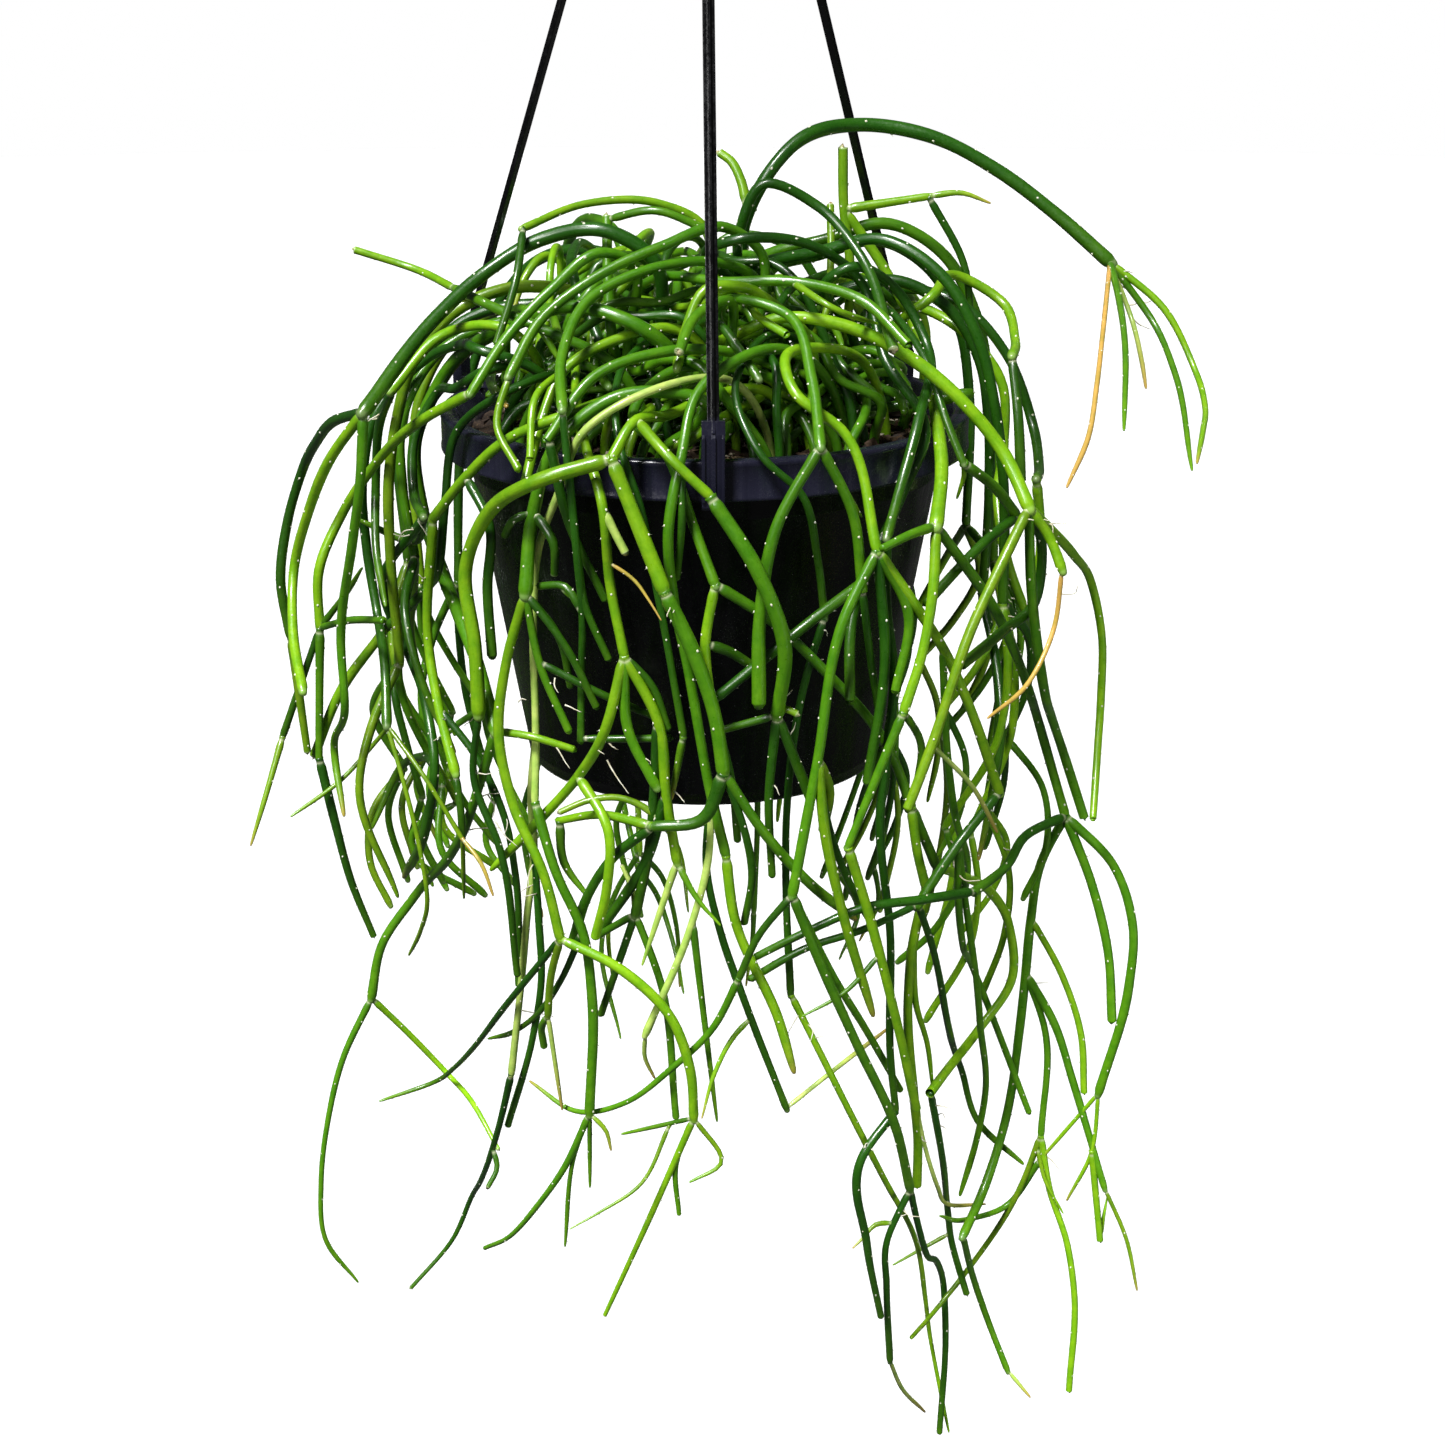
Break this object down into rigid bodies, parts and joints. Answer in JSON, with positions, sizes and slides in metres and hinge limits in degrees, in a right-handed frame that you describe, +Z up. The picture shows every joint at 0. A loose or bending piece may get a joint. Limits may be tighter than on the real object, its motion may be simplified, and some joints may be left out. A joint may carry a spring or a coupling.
{
  "type": "hanging basket mistletoe cactus",
  "caption": "Trailing mistletoe cactus with forked pencil-thin stems, rooted in a round rimmed pot that hangs by a ribbed three-legged clip-on hanger with an open hook.",
  "frame": {"origin": "highest point of the hook's inside, where it bears on the rail or ceiling hook", "axes": "+Z up; -Y towards the picture's viewer, the side with the front leg; +X to that viewer's right"},
  "size_m": [0.3565, 0.278, 0.8003],
  "materials": {
    "stem_green": "waxy, mid green",
    "stem_dark": "waxy, deep bottle green",
    "stem_lime": "waxy, bright yellow green",
    "stem_olive": "waxy, olive green",
    "stem_pale": "satin, pale straw green",
    "black_plastic": "glossy black, moulded",
    "hanger_plastic": "satin black, moulded",
    "bark_mix": "dark, damp and crumbly"
  },
  "bodies": {
    "root": {"hanger": "hanger_plastic", "pot": "black_plastic", "potting_mix": "bark_mix", "shoot_arch_a": "stem_green", "shoot_arch_b": "stem_green", "shoot_back_01": "stem_dark", "shoot_back_02": "stem_dark", "shoot_back_03": "stem_green", "shoot_back_04": "stem_dark", "shoot_back_05": "stem_lime", "shoot_back_06": "stem_olive", "shoot_back_07": "stem_lime", "shoot_back_08": "stem_green", "shoot_back_09": "stem_lime", "shoot_back_10": "stem_green", "shoot_back_11": "stem_green", "shoot_back_12": "stem_dark", "shoot_back_13": "stem_olive", "shoot_back_14": "stem_dark", "shoot_back_15": "stem_green", "shoot_back_16": "stem_olive", "shoot_centre_fork": "stem_green", "shoot_centre_lime": "stem_lime", "shoot_clip_left_fall": "stem_green", "shoot_clip_right_fall": "stem_dark", "shoot_crown_low": "stem_green", "shoot_crown_top": "stem_dark", "shoot_cut_stubs": "stem_olive", "shoot_dark_fall": "stem_dark", "shoot_dark_fall_outer": "stem_dark", "shoot_diagonal_right": "stem_lime", "shoot_front_left_arch": "stem_green", "shoot_glossy_drop": "stem_dark", "shoot_left_arch": "stem_dark", "shoot_left_curtain": "stem_dark", "shoot_left_reach": "stem_green", "shoot_left_tuft": "stem_lime", "shoot_leg_left_fall": "stem_green", "shoot_lime_arch": "stem_lime", "shoot_lime_cross": "stem_lime", "shoot_lit_arch": "stem_green", "shoot_needle": "stem_green", "shoot_node_fork": "stem_lime", "shoot_pale_fall": "stem_pale", "shoot_pale_stub": "stem_green", "shoot_right_arch": "stem_dark", "shoot_right_dark": "stem_dark", "shoot_right_lime_arch": "stem_lime", "shoot_right_pale": "stem_lime", "shoot_rim_arch": "stem_green", "shoot_rim_left": "stem_dark", "shoot_rim_right": "stem_dark", "shoot_stump": "stem_green", "shoot_tall_lime": "stem_lime", "shoot_twin_fall": "stem_lime", "shoot_underarm": "stem_dark", "shoot_upper_left": "stem_lime"}
  },
  "joints": []
}
